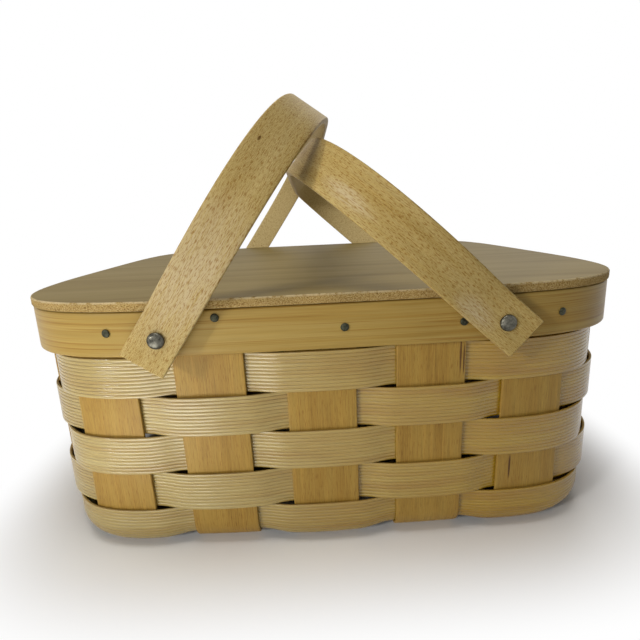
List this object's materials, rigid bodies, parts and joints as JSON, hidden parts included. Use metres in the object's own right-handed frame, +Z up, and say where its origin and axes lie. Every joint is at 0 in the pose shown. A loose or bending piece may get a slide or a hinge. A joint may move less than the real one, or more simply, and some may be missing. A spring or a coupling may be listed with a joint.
{
  "type": "picnic basket",
  "caption": "Square woven-splint picnic basket with a nailed bent-wood rim, a loose board lid on battens, and bent-strip carrying handles that swing on rivets.",
  "frame": {"origin": "on the floor under the middle of the basket", "axes": "+Z up, -Y towards the front of the picture, +X to its right; the handles swing about Y"},
  "size_m": [0.4002, 0.4266, 0.2837],
  "materials": {
    "stake_splint": "thin varnish over stained ash splint",
    "weaver_splint": "glossy varnish over ribbed ash splint",
    "rim_wood": "satin varnish, long streaked grain",
    "handle_wood": "satin varnish, flecked grain",
    "lid_wood": "satin varnish",
    "batten_wood": "bare sanded wood",
    "rivet_metal": "dull, darkened",
    "nail_metal": "dull, tarnished",
    "screw_metal": "plain brass"
  },
  "bodies": {
    "basket": {"cross_stake_1": "stake_splint", "cross_stake_2": "stake_splint", "cross_stake_3": "stake_splint", "cross_stake_4": "stake_splint", "cross_stake_5": "stake_splint", "long_stake_1": "stake_splint", "long_stake_2": "stake_splint", "long_stake_3": "stake_splint", "long_stake_4": "stake_splint", "long_stake_5": "stake_splint", "weaver_row_1": "weaver_splint", "weaver_row_2": "weaver_splint", "weaver_row_3": "weaver_splint", "weaver_row_4": "weaver_splint", "weaver_row_5": "weaver_splint", "outer_rim_hoop": "rim_wood", "inner_rim_hoop": "rim_wood", "rim_nail_front_1": "nail_metal", "rim_nail_front_2": "nail_metal", "rim_nail_front_3": "nail_metal", "rim_nail_front_4": "nail_metal", "rim_nail_front_5": "nail_metal", "rim_nail_right_1": "nail_metal", "rim_nail_right_2": "nail_metal", "rim_nail_right_3": "nail_metal", "rim_nail_right_4": "nail_metal", "rim_nail_right_5": "nail_metal", "rim_nail_back_1": "nail_metal", "rim_nail_back_2": "nail_metal", "rim_nail_back_3": "nail_metal", "rim_nail_back_4": "nail_metal", "rim_nail_back_5": "nail_metal", "rim_nail_left_1": "nail_metal", "rim_nail_left_2": "nail_metal", "rim_nail_left_3": "nail_metal", "rim_nail_left_4": "nail_metal", "rim_nail_left_5": "nail_metal", "left_handle_rivet_front": "rivet_metal", "left_handle_rivet_back": "rivet_metal", "right_handle_rivet_front": "rivet_metal", "right_handle_rivet_back": "rivet_metal", "left_handle_spacer_front": "rivet_metal", "left_handle_spacer_back": "rivet_metal", "right_handle_spacer_front": "rivet_metal", "right_handle_spacer_back": "rivet_metal", "left_rivet_burr_front": "rivet_metal", "left_rivet_burr_back": "rivet_metal", "right_rivet_burr_front": "rivet_metal", "right_rivet_burr_back": "rivet_metal"},
    "left_handle": {"left_handle": "handle_wood"},
    "right_handle": {"right_handle": "handle_wood"},
    "lid": {"lid_board": "lid_wood", "lid_batten_left": "batten_wood", "lid_batten_right": "batten_wood", "batten_screw_1": "screw_metal", "batten_screw_2": "screw_metal", "batten_screw_3": "screw_metal", "batten_screw_4": "screw_metal"}
  },
  "joints": [
    {"name": "left_handle_swing", "type": "hinge", "parent": "basket", "child": "left_handle", "pos_m": [-0.0924, 0, 0.144], "axis": [0, -1, 0], "range_deg": [0, 168]},
    {"name": "right_handle_swing", "type": "hinge", "parent": "basket", "child": "right_handle", "pos_m": [0.0965, 0, 0.144], "axis": [0, 1, 0], "range_deg": [0, 178]},
    {"name": "lid_lift", "type": "slide", "parent": "basket", "child": "lid", "axis": [0, 0, 1], "range_m": [0, 0.025]}
  ]
}
